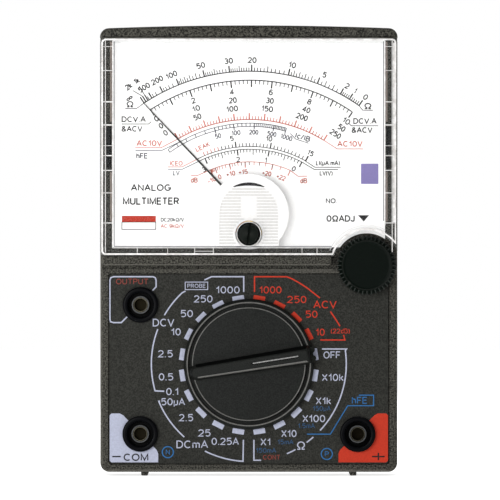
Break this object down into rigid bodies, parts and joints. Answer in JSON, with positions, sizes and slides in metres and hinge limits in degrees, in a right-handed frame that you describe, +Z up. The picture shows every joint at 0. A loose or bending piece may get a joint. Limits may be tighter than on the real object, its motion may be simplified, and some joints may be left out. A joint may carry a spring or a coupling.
{
  "type": "analog multimeter",
  "caption": "Handheld analog multimeter: moving-coil dial under a clear window, rotary range switch, zero-ohm knob and shrouded test-lead sockets in a two-shell case.",
  "frame": {"origin": "on the standing surface under the four foot pegs, below the middle of the whole box", "axes": "front faces -Y, +X to the right seen from the front, +Z up along the height"},
  "size_m": [0.099, 0.035, 0.15],
  "materials": {
    "case_plastic": "fine spark-textured grey-brown ABS",
    "clear_plastic": "clear polished styrene",
    "scale_white": "matt white print on sheet metal",
    "cover_white": "white moulded plastic",
    "panel_print": "printed matt dark plate",
    "knob_black": "black moulded plastic, satin",
    "collar_black": "glossy black insulating plastic",
    "brass": "plain brass",
    "steel": "plated steel",
    "aluminium": "die-cast and sheet aluminium",
    "needle_black": "thin aluminium painted black",
    "copper": "enamelled copper wire and bronze strip",
    "board": "phenolic circuit board",
    "component": "lacquered ceramic component bodies",
    "component_black": "black moulded component bodies",
    "capacitor": "dipped film capacitor",
    "fuse_glass": "glass tube with metal caps",
    "cell_sleeve": "printed sleeve over a metal can",
    "lead_sleeve": "flexible wire insulation"
  },
  "bodies": {
    "housing": {"front_case": "case_plastic", "rear_case": "case_plastic", "meter_window": "clear_plastic", "scale_plate": "scale_white", "movement_cover": "cover_white", "panel_label": "panel_print", "yoke_ring": "steel", "core_magnet": "steel", "movement_frame": "aluminium", "front_bridge": "aluminium", "front_jewel_screw": "brass", "rear_jewel_screw": "brass", "rear_hairspring": "copper", "movement_screw_left": "steel", "movement_screw_right": "steel", "circuit_board": "board", "jack_collar_output": "collar_black", "jack_collar_common": "collar_black", "jack_collar_positive": "collar_black", "jack_socket_output": "brass", "jack_socket_common": "brass", "jack_socket_positive": "brass", "fuse": "fuse_glass", "fuse_clip_left": "brass", "fuse_clip_right": "brass", "aa_cell_left": "cell_sleeve", "aa_cell_right": "cell_sleeve", "battery_9v": "cell_sleeve", "snap_connector": "component_black", "cell_link_plate": "brass", "cell_spring": "steel", "cell_contact_plate": "brass", "potentiometer_body": "steel", "shunt_resistor": "component", "output_capacitor": "capacitor", "rectifier_diode": "component_black", "resistor_upper": "component", "resistor_lower": "component", "case_screw_upper": "steel", "case_screw_lower": "steel", "board_screw": "steel", "movement_lead": "lead_sleeve", "cell_lead": "lead_sleeve", "snap_lead": "lead_sleeve"},
    "selector": {"range_knob": "knob_black", "selector_rotor": "cover_white", "wiper_contact": "brass", "knob_screw": "steel", "detent_ball": "steel", "detent_spring": "steel"},
    "ohm_adjuster": {"ohm_adjust_knob": "knob_black", "potentiometer_shaft": "aluminium"},
    "zero_screw": {"zero_adjust_screw": "knob_black"},
    "zero_arm": {"zero_lever": "brass", "front_hairspring": "copper"},
    "coil_and_needle": {"moving_coil": "copper", "front_pivot": "steel", "rear_pivot": "steel", "needle": "needle_black", "counterweight": "brass"}
  },
  "joints": [
    {"name": "selector_turn", "type": "hinge", "parent": "housing", "child": "selector", "pos_m": [0, 0, 0.0373], "axis": [0, 1, 0], "continuous": true},
    {"name": "ohm_adjust_turn", "type": "hinge", "parent": "housing", "child": "ohm_adjuster", "pos_m": [0.0393, 0, 0.0702], "axis": [0, 1, 0], "range_deg": [-140, 140]},
    {"name": "zero_adjust_turn", "type": "hinge", "parent": "housing", "child": "zero_screw", "pos_m": [0, 0, 0.0806], "axis": [0, 1, 0], "range_deg": [-40, 40]},
    {"name": "zero_lever_turn", "type": "hinge", "parent": "housing", "child": "zero_arm", "pos_m": [0, 0, 0.0873], "axis": [0, 1, 0], "range_deg": [-7, 7]},
    {"name": "needle_swing", "type": "hinge", "parent": "housing", "child": "coil_and_needle", "pos_m": [0, 0, 0.0873], "axis": [0, 1, 0], "range_deg": [-3, 92], "stiffness_Nm_per_rad": 0.00002}
  ],
  "couplings": [
    {"joint": "zero_lever_turn", "follows": "zero_adjust_turn", "ratio": -0.165}
  ]
}
